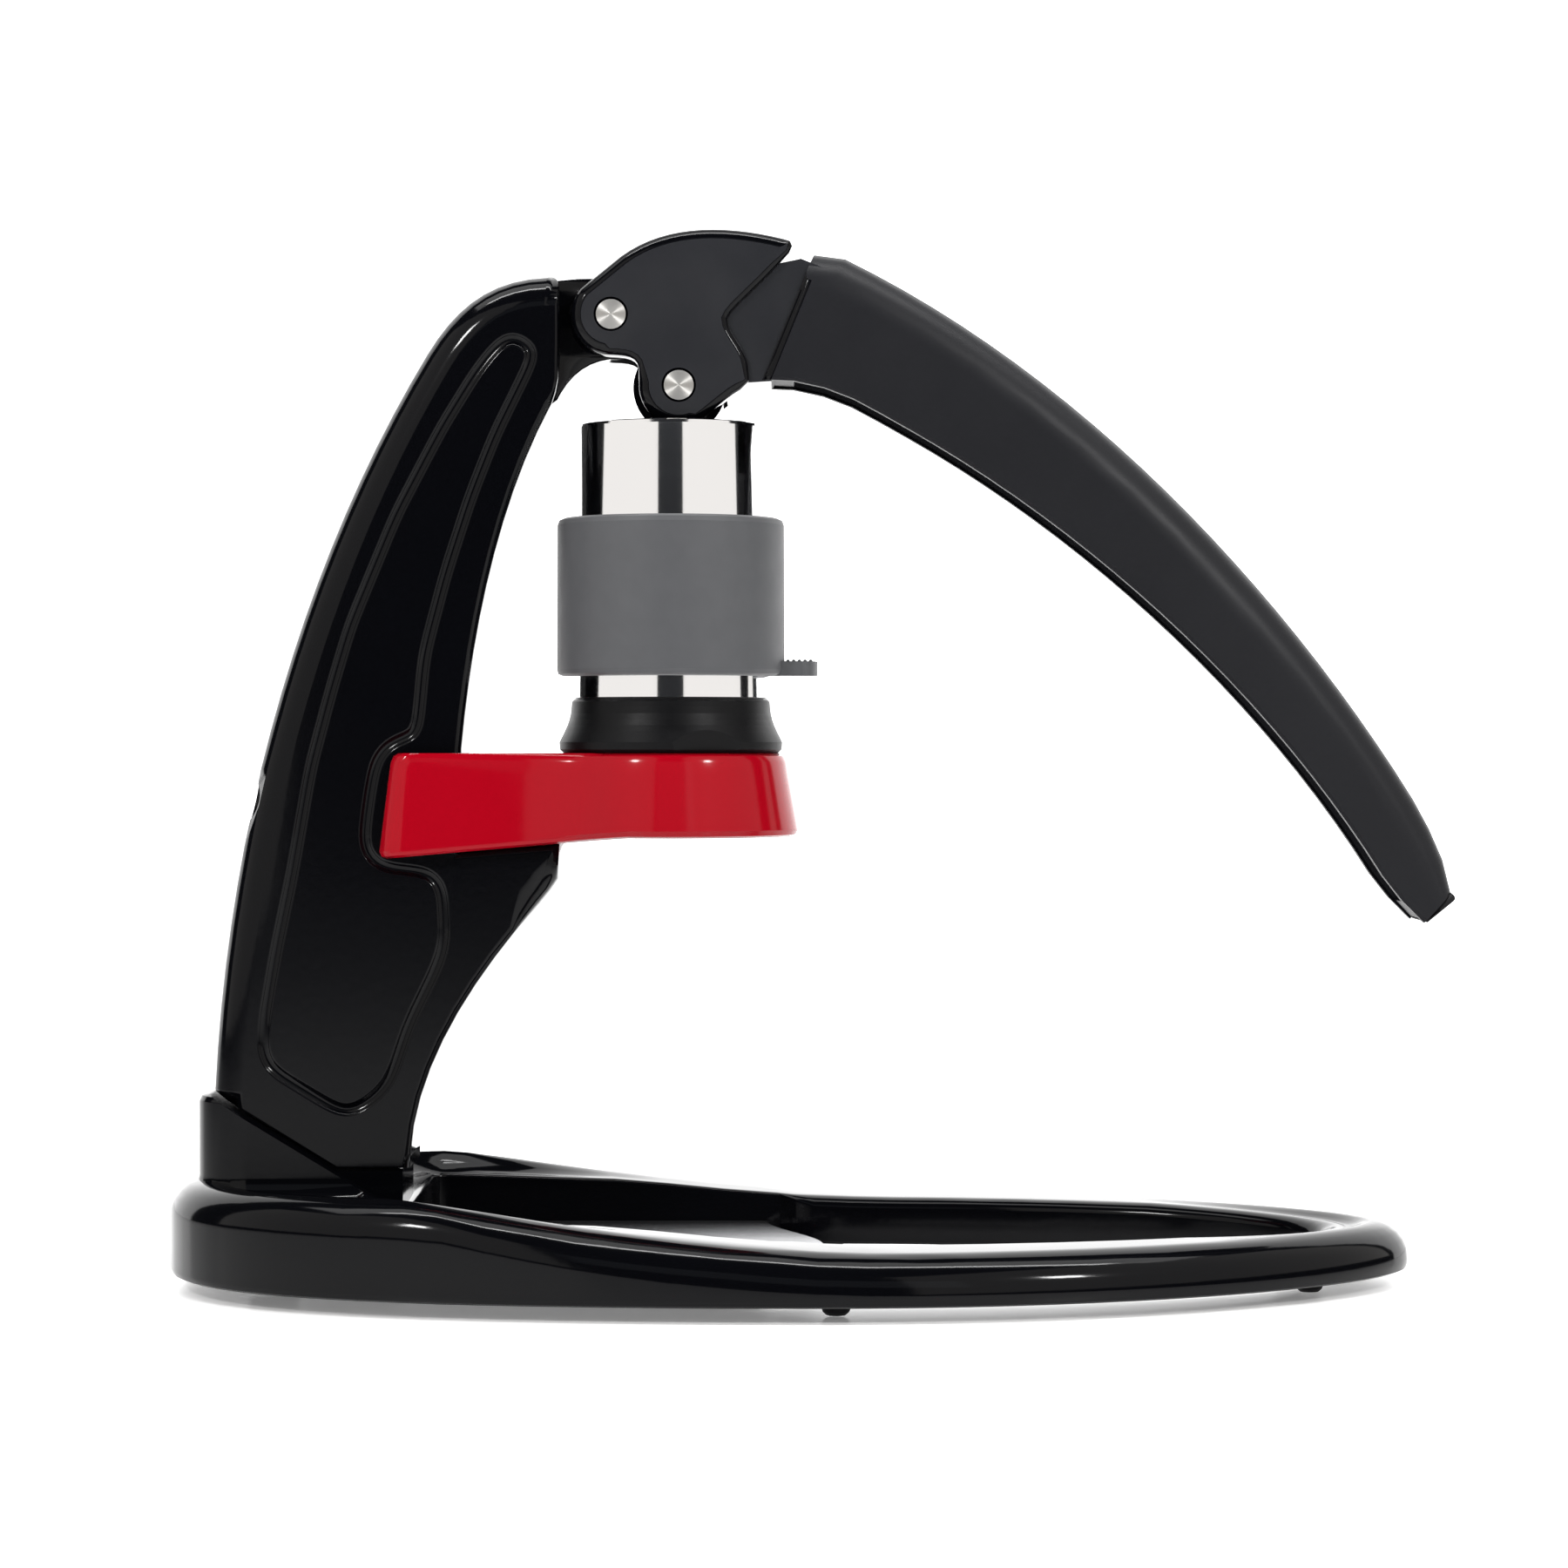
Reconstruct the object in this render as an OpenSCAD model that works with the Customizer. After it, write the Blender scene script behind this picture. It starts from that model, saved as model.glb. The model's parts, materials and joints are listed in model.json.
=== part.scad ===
// Manual lever espresso maker: oval cast base, curved post, fork-headed lever, brew head in a ring arm.
// Millimetres. +Z is up, +X points from the post toward the lever tip, Y = 0 is the mirror plane.
// The origin lies on the counter, on the axis of the brew cylinder.

/* [Base] */
// distance from the brew axis to the front tip of the base
base_front = 176; // [140:1:220]
// distance from the brew axis to the rear end of the base
base_rear = 119; // [100:1:150]
// half of the greatest width of the base
base_half_w = 74; // [60:1:90]
// height of the base's underside above the counter
foot_h = 3; // [2:0.5:8]
// height of the crest round the rear of the base
deck_z = 25.5; // [22:0.5:32]
// depth of the dish between that crest and the foot of the post
dish_d = 5; // [3:0.5:6]
// height of the rim round the front opening
rim_z = 14.5; // [11:0.5:25]
// width of the rim round the front opening
rim_w = 21; // [14:0.5:30]
// half-width of the pocket that holds the drip tray
pocket_half_w = 50; // [46:0.5:54]
// front end of the tray pocket, from the brew axis
pocket_front = 26; // [15:0.5:40]
// rear end of the tray pocket, from the brew axis
pocket_rear = 60.5; // [50:0.5:61]
// height of the surface that the cup stands on
tray_z = 8.5; // [6:0.5:12]
// sheet thickness of the drip tray
tray_t = 1.2; // [0.8:0.1:2]

/* [Post] */
// rounding of the post's rear edge
post_rear_r = 8; // [3:0.5:10]
// rounding of the post's front edge
post_front_r = 2; // [1:0.5:5]
// thickness of the tongue inside the lever fork
tongue_w = 12; // [8:0.5:14]
// depth of the panel groove in the post's sides
groove_d = 0.8; // [0.4:0.1:1.5]
// width of the panel groove
groove_w = 2.5; // [1.5:0.1:4]

/* [Lever] */
// pivot pin, distance behind the brew axis
pivot_back = 13.7; // [12:0.1:16]
// pivot pin, height above the counter
pivot_z = 229.2; // [226:0.1:234]
// distance from the pivot pin to the presser pin
link_len = 23.07; // [22:0.01:24]
// angle of the line between the pins below the horizontal
link_tilt = 46.2; // [44:0.1:48]
// full width of the post, the fork head and the grip
lever_w = 30; // [26:1:34]
// radius of the fork's eyes round the pins
eye_r = 9.5; // [8:0.1:11]
// rounding of the head's outer edges
head_round = 2.8; // [1.5:0.1:3]
// wall thickness of the hollow grip
grip_wall = 3; // [2:0.1:4]
// radius of both hinge pins
pin_r = 4; // [3:0.1:5]

/* [Brew head] */
// top face of the portafilter arm
arm_top = 126; // [124:0.5:128]
// thickness of the arm's ring round the portafilter, at its lower edge
ring_wall = 8.3; // [7:0.1:11]
// wall thickness of the brew cylinder at its upper end
cyl_wall = 1.7; // [1.2:0.1:3]
// lower end of the brew cylinder
cyl_bottom = 138.8; // [136:0.1:142]
// upper end of the brew cylinder
cyl_top = 204.3; // [200:0.1:206]
// growth of the cylinder's outer radius from its upper end to its lower end
cyl_taper = 1.8; // [0.5:0.1:3]
// outer radius of the cylinder at its upper end
cyl_r_top = 21.7; // [21.2:0.1:23]
// lower edge of the thermal sleeve
sleeve_low = 144.4; // [142:0.1:150]
// upper edge of the thermal sleeve
sleeve_top = 181.8; // [170:0.1:190]
// wall thickness of the thermal sleeve
sleeve_t = 3.8; // [2:0.1:5]

/* [Clearances] */
// radial clearance of a running fit
run_gap = 0.05; // [0.02:0.01:0.1]
// gap at a seam between fixed pieces
seam_gap = 0.15; // [0.05:0.01:0.4]
// gap between moving faces that don't bear on each other
move_gap = 0.5; // [0.3:0.05:1]
// gap from the presser foot to the plunger cap with the lever down
press_gap = 1; // [0.8:0.1:1.5]

/* [Hidden] */
$fn = 64;
pivot = [-pivot_back, pivot_z];
presser = pivot + link_len * [cos(link_tilt), -sin(link_tilt)];
foot_bottom = presser[1] - 22.5;
cap_top = foot_bottom - press_gap;
fork_half = tongue_w / 2 + 1.5;
lever_half = lever_w / 2;
post_w = lever_w;
post_half = post_w / 2;
arm_seat_x = -48.8;
arm_slope = 0.0862;
washer_t = 1.3;
bush_r = pin_r + 1.5;
pad_r = 8.2;
stem_r = 6;
cut_over = 0.1;
web_top = tray_z - tray_t;
widest_x = 34.6;
pocket_corner = 4;
crest_start = -62;
crest_ease = 12;
crest_run = 104;
crest_power = 1.8;
dish_slope = 0.034;
ledge = 1;
heel = [-108, 46.6];
sole = [-78.2, 28.3];
toe = [-61.5, 28.4];
foot_slope = (heel[1] - sole[1]) / (sole[0] - heel[0]);
tenon_low = 17;
wing_x = -78;
wing_recess_r = 15;
wing_recess_top = 15;
bolt_z = arm_top - 11.5;
bolt_y = 7;
bolt_r = 3;
bolt_head_r = 5;
bolt_head_x = -81;
bore_r = cyl_r_top - cyl_wall;
cyl_r_low = cyl_r_top + cyl_taper;
cup_r = bore_r + 2.1;
collar_r = cup_r + 1.4;
ring_r = cup_r + ring_wall;
cup_low = arm_top - 13;
FEET = [[-95, 22], [-95, -22], [38.7, 60], [38.7, -60], [150, 20], [150, -20]];

// Curves

// points of a cubic curve from a to d, without its last point
function curve(a, b, c, d, n) =
    [for (i = [0:n - 1])
        let (t = i / n, s = 1 - t)
        s * s * s * a + 3 * s * s * t * b + 3 * s * t * t * c + t * t * t * d];

// points of an arc about c, without its last point
function arc(c, r, from, to, n) =
    [for (i = [0:n - 1])
        let (a = from + (to - from) * i / n)
        c + r * [cos(a), sin(a)]];

// inward unit normal at point i of a counterclockwise outline, stretched at corners
function inward(p, i) =
    let (
        n = len(p),
        d0 = p[i] - p[(i + n - 1) % n],
        d1 = p[(i + 1) % n] - p[i],
        u0 = [-d0[1], d0[0]] / norm(d0),
        u1 = [-d1[1], d1[0]] / norm(d1),
        m = (u0 + u1) / norm(u0 + u1)
    )
    m / max(0.55, m * u0);

// outline moved inward by a distance
function inset(p, d) = [for (i = [0:len(p) - 1]) p[i] + d * inward(p, i)];

// list of n equal values
function many(n, value) = [for (i = [1:n]) value];

// weight that is 0 below a, 1 above b and smooth between
function blend(x, a, b) =
    let (t = min(1, max(0, (x - a) / (b - a))))
    t * t * (3 - 2 * t);

// point at a fraction f of the length of a polyline
function lengths(p) = [for (i = 0, s = 0; i < len(p);
    i = i + 1, s = i < len(p) ? s + norm(p[i] - p[i - 1]) : s) s];
function along(p, l, f, i = 1) =
    let (s = f * l[len(p) - 1])
    (i >= len(p) - 1 || l[i] >= s)
        ? p[i - 1] + (p[i] - p[i - 1]) * (s - l[i - 1]) / (l[i] - l[i - 1])
        : along(p, l, f, i + 1);

// Solids from rings of points

// solid through a list of rings, closed by a flat face at both ends
module skin(rings) {
    n = len(rings[0]);
    m = len(rings);
    points = [for (r = rings) each r];
    sides = [for (j = [0:m - 2], i = [0:n - 1])
        each [[j * n + i, j * n + (i + 1) % n, (j + 1) * n + i],
              [j * n + (i + 1) % n, (j + 1) * n + (i + 1) % n, (j + 1) * n + i]]];
    ends = [[for (i = [n - 1:-1:0]) i], [for (i = [0:n - 1]) (m - 1) * n + i]];
    polyhedron(points, concat(sides, ends), convexity = 6);
}

// solid through rings whose second half runs back inside the first, such as a channel's section
module channel(rings) {
    n = len(rings[0]);
    m = len(rings);
    points = [for (r = rings) each r];
    sides = [for (j = [0:m - 2], i = [0:n - 1])
        each [[j * n + i, j * n + (i + 1) % n, (j + 1) * n + i],
              [j * n + (i + 1) % n, (j + 1) * n + (i + 1) % n, (j + 1) * n + i]]];
    function end(i, k) = [[k + i + 1, k + i, k + n - 1 - i], [k + i + 1, k + n - 1 - i, k + n - 2 - i]];
    first = [for (i = [0:n / 2 - 2]) each end(i, 0)];
    last = [for (i = [0:n / 2 - 2], f = end(i, (m - 1) * n)) [f[2], f[1], f[0]]];
    polyhedron(points, concat(sides, first, last), convexity = 6);
}

// solid through rings that run back into the first one
module hoop(rings) {
    n = len(rings[0]);
    m = len(rings);
    points = [for (r = rings) each r];
    sides = [for (j = [0:m - 1], i = [0:n - 1])
        let (k = (j + 1) % m)
        each [[j * n + i, j * n + (i + 1) % n, k * n + i],
              [j * n + (i + 1) % n, k * n + (i + 1) % n, k * n + i]]];
    polyhedron(points, sides, convexity = 8);
}

// plate standing in the XZ plane, w thick, with its edges rounded by the radius given for each point;
// the rings run a little past both sides, which are then cut flat
module rounded_plate(p, w, r, steps = 4) {
    n = len(p);
    inner = [for (i = [0:n - 1]) inward(p, i)];
    function ring(k, side) = [for (i = [0:n - 1])
        let (b = 90 * k / steps, q = p[i] + inner[i] * r[i] * (1 - cos(b)))
        [q[0], side * (w / 2 - r[i] + r[i] * sin(b) + (k == steps ? cut_over : 0)), q[1]]];
    near = [for (k = [steps:-1:0]) ring(k, -1)];
    far = [for (k = [0:steps]) ring(k, 1)];
    intersection() {
        skin(concat(near, far));
        translate([-250, -w / 2, 0])
            cube([500, w, 300]);
    }
}

// plate of an XZ outline, from y0 to y1
module plate(p, y0, y1) {
    translate([0, y1, 0])
        rotate([90, 0, 0])
            linear_extrude(y1 - y0)
                polygon(p);
}

// cylinder along Y, centred on the mirror plane
module bar_y(c, r, len) {
    translate([c[0], 0, c[1]])
        rotate([90, 0, 0])
            cylinder(h = len, r = r, center = true);
}

// Base

// half of an egg-shaped outline; tip sets how blunt its front end is
function half_oval(rear, front, w, tip, n) = concat(
    curve([front, 0], [front, tip * w], [0.69 * front, w], [widest_x, w], n),
    curve([widest_x, w], [widest_x - 0.72 * rear, w], [-rear, 0.8 * w], [-rear, 0], n));

// inner edge of the base: the egg-shaped opening in front, the pocket of the tray behind it
function half_inner(front, w, tip, n) = concat(
    curve([front, 0], [front, tip * w], [0.69 * front, w], [widest_x, w], n),
    [[widest_x, w], [pocket_front + 4, w + 0.5]],
    [for (k = [0:5])
        [pocket_front - k * (pocket_front + pocket_rear - pocket_corner) / 6, pocket_half_w]],
    pocket_corner_points(0),
    [for (k = [1:n - 11]) [-pocket_rear, (pocket_half_w - pocket_corner) * (1 - k / (n - 10))]]);

// rear corner of the pocket, moved inward by gap
function pocket_corner_points(gap) =
    [for (p = [[1, 0], [0.3, 0.3], [0, 1]])
        [-pocket_rear + gap + p[0] * pocket_corner, pocket_half_w - gap - p[1] * pocket_corner]];

// whole outline from one half, which starts at the front tip, and the x of its rear end
function mirrored(h, rear) =
    concat(h, [[-rear, 0]], [for (i = [len(h) - 1:-1:1]) [h[i][0], -h[i][1]]]);

// height of the crest at x: level round the post, then falling to the front rim
function crest_z(x) =
    let (
        d = max(0, x - crest_start),
        u = min(1, d * d / (d + crest_ease) / crest_run)
    )
    rim_z + (deck_z - rim_z) * pow(1 - u, crest_power);

// height of the inner part of the top surface, which is sunk round the post
function dish_z(x) = min(crest_z(x), deck_z - dish_d - dish_slope * max(0, x + pocket_rear));

// section of the base from the outer wall at o to the inner wall at i
function rim_section(o, i) =
    let (
        l = norm(i - o),
        u = (i - o) / l,
        ro = min(9, 0.5 * l),
        ri = 1.5 + 3 * blend(i[0], pocket_front, pocket_front + 9),
        vi = 0.62 * ri,
        crest = crest_z(o[0] + u[0] * ro),
        edge = dish_z(i[0]),
        vo = min(8.5, crest - foot_h - 2.5),
        fall = min(14, 0.8 * (l - ro - ri)),
        foot = [[1.6, foot_h], [0.5, foot_h + 0.5], [0, foot_h + 1.8]],
        outer = [for (a = [0:15:90]) [ro * (1 - cos(a)), crest - vo + vo * sin(a)]],
        dish = [for (t = [0.25:0.25:1])
            [ro + fall * t,
             crest + (dish_z(o[0] + u[0] * (ro + fall * t)) - crest) * blend(t, 0, 1)]],
        inner = [for (a = [90:-22.5:0]) [l - ri + ri * cos(a), edge - vi + vi * sin(a)]],
        low = [[l, foot_h + 0.6], [l - 0.6, foot_h]],
        s = concat(foot, outer, dish, inner, low)
    )
    [for (p = s) [o[0] + u[0] * p[0], o[1] + u[1] * p[0], p[1]]];

// plan of the tray, whose front edge swells forward in the middle
module tray_outline(gap) {
    w = pocket_half_w - gap;
    edge_x = pocket_front - 3.4;
    swell = 13.8;
    swell_half_w = 50;
    front = [for (y = [-w:w / 16:w])
        [edge_x + swell * (0.5 + 0.5 * cos(min(180, 180 * abs(y) / swell_half_w))), y]];
    corner = pocket_corner_points(gap);
    polygon(concat(corner, [for (i = [2:-1:0]) [corner[i][0], -corner[i][1]]], front));
}

// outline of the collar round the foot of the post at height z, grown by d
function collar_ring(d, z) =
    let (
        rear = [heel[0] + 9, post_half - 7],
        front = [sole[0] + 3, post_half - 1],
        half = concat(arc(front, 5.5 + d, 0, 88, 6), arc(rear, 12.5 + d, 88, 180, 9))
    )
    concat([for (p = half) [p[0], p[1], z]], [[rear[0] - 12.5 - d, rear[1], z]],
           [[rear[0] - 12.5 - d, -rear[1], z]],
           [for (i = [len(half) - 1:-1:0]) [half[i][0], -half[i][1], z]]);

// collar with a hollow fillet at its foot and a sloping top under the slanted end of the post
module collar() {
    fillet_r = 6;
    floor_z = deck_z - dish_d;
    top = heel[1] - 0.8;
    rings = concat(
        [collar_ring(-2, top), collar_ring(-0.6, top - 0.6), collar_ring(0, top - 2)],
        [for (a = [90:-17.5:20]) collar_ring(fillet_r * (1 - sin(a)), floor_z + fillet_r * (1 - cos(a)))],
        [collar_ring(0.87 * fillet_r, floor_z - 0.1), collar_ring(0.87 * fillet_r, floor_z - 6)]);
    difference() {
        skin(rings);
        plate([heel + [-25, 25 * foot_slope - ledge], sole + [20, -20 * foot_slope - ledge], sole + [20, 40],
               heel + [-25, 40]], -post_half - 20, post_half + 20);
    }
}

module base_frame() {
    side_extra = 6.5;
    n = 22;
    out = mirrored(half_oval(base_rear, base_front, base_half_w, 0.31, n), base_rear);
    inn = mirrored(half_inner(base_front - rim_w, base_half_w - rim_w - side_extra, 0.42, n), pocket_rear);
    rings = [for (k = [0:len(out) - 1]) rim_section(out[k], inn[k])];
    color([0.03, 0.03, 0.035])
        difference() {
            union() {
                hoop(rings);
                collar();
                translate([0, 0, foot_h])
                    linear_extrude(web_top - foot_h)
                        tray_outline(-1);
                // block under the front of the post
                plate([heel - [0, seam_gap + ledge], [heel[0] + 4.8, 12], [toe[0] - 1.3, 12],
                       [toe[0] - 1.3, toe[1] - 0.1 - seam_gap], sole - [0, seam_gap]],
                      -post_half + 1, post_half - 1);
            }
            post_tenon(seam_gap);
            translate([wing_x, 0, -1])
                cylinder(h = wing_recess_top + 1, r = wing_recess_r);
            translate([wing_x, 0, 0])
                cylinder(h = 40, r = pin_r + 0.4);
            for (f = FEET)
                translate([f[0], f[1], 0])
                    cylinder(h = foot_h + 4.2, r = 1.8 + run_gap);
        }
}

module rubber_feet() {
    color([0.06, 0.06, 0.06])
        for (f = FEET)
            translate([f[0], f[1], 0])
                rotate_extrude()
                    polygon([[0, 0], [2.2, 0], [3, 0.7], [3.4, 1.8], [3.5, foot_h], [1.8, foot_h],
                             [1.8, foot_h + 3.6], [1.4, foot_h + 4], [0, foot_h + 4]]);
}

module drip_tray() {
    color([0.75, 0.76, 0.78])
        translate([0, 0, web_top])
            linear_extrude(tray_t)
                tray_outline(move_gap);
}

module post_wing_bolt() {
    head_low = 5.5;
    head_r = 6.5;
    wing_r = 4;
    color([0.55, 0.56, 0.58])
        translate([wing_x, 0, 0]) {
            translate([0, 0, head_low])
                cylinder(h = wing_recess_top - head_low - run_gap, r = head_r);
            translate([0, 0, tenon_low - 7])
                cylinder(h = 17, r = pin_r);
            for (s = [-1, 1])
                translate([s * (head_r + 1.9), 0, head_low + 3])
                    rotate([90, 0, 0])
                        cylinder(h = 3, r = wing_r, center = true);
        }
}

// Post

function post_outline() = concat(
    [heel + [0.4, -20], toe - [0, 6]],
    curve([-61, 31.5], [-59.8, 52], [-47, 72], [-31, 90.3], 9),
    curve([-31, 90.3], [-27.9, 94.2], [-25.9, 96], [-25.9, 99], 3),
    [[-25.9, arm_low(-25.9) - seam_gap], [arm_seat_x - seam_gap, arm_low(arm_seat_x) - seam_gap]],
    curve([arm_seat_x - seam_gap, 127], [-46.4, 155], [-40.2, 185], [-27.8, 208], 11),
    curve([-27.8, 208], [-27, 210], [-26.4, 212], [-26.2, 214], 2),
    curve([-26.2, 214], [-26, 222], [-26, 230], [-26.2, 236], 4),
    curve([-26.2, 236], [-26.3, 238], [-27, 238.7], [-29, 238.7], 3),
    curve([-29, 238.7], [-42.4, 238.2], [-50.6, 231.9], [-57.6, 220.4], 9),
    curve([-57.6, 220.4], [-86, 173.6], [-104.8, 112], heel, 20),
    [heel]);

// rounding at each point of that outline, in the order of its pieces
function post_rounding() = concat(
    [post_rear_r], many(10, post_front_r), many(3, 6), many(14, post_front_r),
    many(8, 1), many(30, post_rear_r));

PANEL = [[-37.3, 225.8], [-41.1, 223], [-46.2, 216.6], [-54.5, 203.2], [-65.3, 182.7], [-76.2, 156.4],
         [-80.7, 141.3], [-85.6, 122.9], [-89.9, 98.3], [-93.8, 79.5], [-96.6, 63.1], [-96.9, 54.9],
         [-94.8, 50.8], [-77.8, 40.4], [-74.3, 40.2], [-69, 43.6], [-64.9, 47.7], [-60.2, 61.9],
         [-53.8, 74.8], [-51.6, 80.7], [-52.2, 95.3], [-55.7, 99.2], [-68.4, 100.3], [-70.9, 103.8],
         [-69.5, 115.1], [-67.8, 124.9], [-64.2, 128.2], [-58.6, 128.8], [-57.9, 132.7],
         [-56.4, 148.9], [-51.3, 168.1], [-45.5, 185.9], [-39.7, 200.6], [-34, 212.1],
         [-30.2, 219.9], [-30.9, 222.3]];

module panel_groove(side) {
    inner = inset(PANEL, groove_w);
    n = len(PANEL);
    translate([0, side * post_half + groove_d, 0])
        rotate([90, 0, 0])
            linear_extrude(2 * groove_d)
                polygon(concat(PANEL, inner),
                        [[for (i = [0:n - 1]) i], [for (i = [0:n - 1]) n + i]]);
}

// tongue under the foot of the post that drops into the base
module post_tenon(gap) {
    rear_x = -86;
    l = 18;
    w = 18;
    h = 26;
    translate([rear_x - gap, -w / 2 - gap, tenon_low - gap])
        cube([l + 2 * gap, w + 2 * gap, h + 2 * gap]);
}

module post() {
    p = post_outline();
    r = post_rounding();
    tongue_r = eye_r - 0.2;
    tongue_low = pivot - [0.6, tongue_r];
    color([0.03, 0.03, 0.035])
        difference() {
            union() {
                difference() {
                    rounded_plate(p, post_w, r);
                    // slanted foot
                    plate([heel + 20 * [-1, foot_slope], sole, toe, toe + [10, 0.1], toe + [10, -25],
                           heel + [-20, -45]], -post_half - 1, post_half + 1);
                }
                post_tenon(0);
                // tongue inside the fork
                plate(concat([[-40, 236], [-40, 205]],
                             curve([-28.5, 207], [-25.5, 214.5], [-21.5, 219], tongue_low, 8),
                             [tongue_low, pivot + [0, tongue_r], [-22, 238.4], [-30, 237.6]]),
                      -tongue_w / 2, tongue_w / 2);
                bar_y(pivot, tongue_r, tongue_w);
            }
            bar_y(pivot, bush_r, tongue_w + 2);
            panel_groove(-1);
            panel_groove(1);
            translate([wing_x, 0, tenon_low - 7])
                cylinder(h = 18, r = pin_r + 0.1);
            for (s = [-1, 1])
                translate([bolt_head_x - 29, s * bolt_y, bolt_z])
                    rotate([0, 90, 0]) {
                        cylinder(h = 35, r = bolt_head_r + 0.2);
                        cylinder(h = 80, r = bolt_r + 0.2);
                    }
        }
}

module pivot_bush() {
    color([0.75, 0.68, 0.5])
        difference() {
            bar_y(pivot, bush_r, tongue_w);
            bar_y(pivot, pin_r + run_gap, tongue_w + 2);
        }
}

module washer_pair(c) {
    color([0.85, 0.85, 0.82])
        for (s = [-1, 1])
            translate([0, s * (tongue_w / 2 + washer_t / 2), 0])
                difference() {
                    bar_y(c, eye_r - 1, washer_t);
                    bar_y(c, pin_r + run_gap, 5);
                }
}

module pivot_washers() {
    washer_pair(pivot);
}

// Portafilter arm

// plan of the arm, d smaller all round than at its widest level
function arm_plan(d) =
    let (
        r = ring_r - d,
        w = post_half + 6.5 - 0.55 * d,
        rear = -68 + 0.9 * d,
        half = concat(
            arc([0, 0], r, 0, 126, 22),
            curve(r * [cos(126), sin(126)], r * [cos(126), sin(126)] - 12 * [0.809, 0.588],
                  [-50, w - 1.9], [rear + 6, w], 9),
            curve([rear + 6, w], [rear + 2, w + 0.4], [rear, w - 1.5], [rear, w - 4.5], 4)))
    concat(half, [[rear, w - 4.5]], [[rear, 4.5 - w]],
           [for (i = [len(half) - 1:-1:1]) [half[i][0], -half[i][1]]]);

function arm_low(x) = arm_top - 24.8 + arm_slope * (min(x, -10) + 68);

module portafilter_arm() {
    levels = [[0, 1.6, 0], [0.5, 0.5, 0], [1.7, 0, 0], [-5, 2.4, 1], [-2.2, 2.8, 1], [-0.7, 3.5, 1],
              [cut_over, 4.8, 1]];
    rings = [for (l = levels)
        [for (q = arm_plan(l[1]))
            [q[0], q[1], l[2] > 0 ? arm_top + l[0] : arm_low(q[0]) + l[0]]]];
    color([0.72, 0.03, 0.06])
        difference() {
            difference() {
                intersection() {
                    skin_tilted(rings);
                    translate([-90, -60, 90])
                        cube([150, 120, arm_top - 90]);
                }
                translate([-90, -post_half - seam_gap, 90])
                    cube([90 + arm_seat_x, post_w + 2 * seam_gap, 50]);
            }
            translate([0, 0, 90])
                cylinder(h = 50, r = cup_r + 0.3);
            for (s = [-1, 1])
                translate([arm_seat_x - 1, s * bolt_y, bolt_z])
                    rotate([0, 90, 0])
                        cylinder(h = 15, r = bolt_r + run_gap);
        }
}

// solid through rings whose first ring isn't flat: its end is a fan about the middle
module skin_tilted(rings) {
    n = len(rings[0]);
    m = len(rings);
    points = concat([for (r = rings) each r], [[-10, 0, arm_low(-10)]]);
    sides = [for (j = [0:m - 2], i = [0:n - 1])
        each [[j * n + i, (j + 1) * n + i, j * n + (i + 1) % n],
              [j * n + (i + 1) % n, (j + 1) * n + i, (j + 1) * n + (i + 1) % n]]];
    low = [for (i = [0:n - 1]) [m * n, i, (i + 1) % n]];
    top = [[for (i = [n - 1:-1:0]) (m - 1) * n + i]];
    polyhedron(points, concat(sides, low, top), convexity = 6);
}

module arm_bolts() {
    color([0.6, 0.6, 0.62])
        for (s = [-1, 1])
            translate([bolt_head_x, s * bolt_y, bolt_z])
                rotate([0, 90, 0])
                    difference() {
                        union() {
                            cylinder(h = 6, r = bolt_head_r);
                            cylinder(h = 44, r = bolt_r);
                        }
                        translate([0, 0, -1])
                            cylinder(h = 4, r = 2.9, $fn = 6);
                    }
}

// Portafilter

module portafilter_collar() {
    color([0.05, 0.05, 0.05])
        difference() {
            rotate_extrude()
                polygon(concat(
                    [[cup_r + 0.1, arm_top], [collar_r + 2.1, arm_top], [collar_r + 3, arm_top + 0.9],
                     [collar_r + 3.1, arm_top + 2.6]],
                    curve([collar_r + 3.1, arm_top + 2.6], [collar_r + 1.7, arm_top + 5.5],
                          [collar_r + 0.4, arm_top + 7.5], [collar_r + 0.2, cyl_bottom - 1.8], 6),
                    [[collar_r + 0.2, cyl_bottom - 1.8], [collar_r + 0.1, cyl_bottom - 0.6],
                     [collar_r - 0.4, cyl_bottom - 0.1], [cup_r + 0.1, cyl_bottom - 0.1]]));
            for (a = [-69, 69])
                rotate([0, 0, a])
                    translate([collar_r + 1.7, -10, arm_top + 0.8])
                        cube([5, 20, 5.8]);
        }
}

// rings of small holes through a disc
module sieve(r_max, pitch, hole_r, h) {
    cylinder(h = h, r = hole_r);
    for (k = [1:floor(r_max / pitch)])
        for (a = [0:6 * k - 1])
            rotate([0, 0, 60 * a / k])
                translate([k * pitch, 0, 0])
                    cylinder(h = h, r = hole_r, $fn = 16);
}

module portafilter_cup() {
    color([0.72, 0.73, 0.75])
        difference() {
            rotate_extrude()
                polygon([[0, cup_low], [cup_r, cup_low], [cup_r, cyl_bottom - 2.2],
                         [bore_r + 0.4, cyl_bottom - 2.2], [bore_r + 0.2, cup_low + 2.5],
                         [bore_r - 0.8, cup_low + 1.4], [0, cup_low + 1.4]]);
            translate([0, 0, cup_low - 1])
                sieve(bore_r - 3.5, 4, 0.9, 4);
        }
}

module portafilter_spout() {
    color([0.05, 0.05, 0.05])
        rotate_extrude()
            polygon([[cup_r - 0.1, cup_low], [cup_r - 3.6, cup_low], [4.5, cup_low - 3.5],
                     [4, cup_low - 5.4], [6.5, cup_low - 5.4], [9, cup_low - 4.8],
                     [cup_r - 1.3, cup_low - 4.8], [cup_r - 0.1, cup_low - 3.6]]);
}

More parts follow.
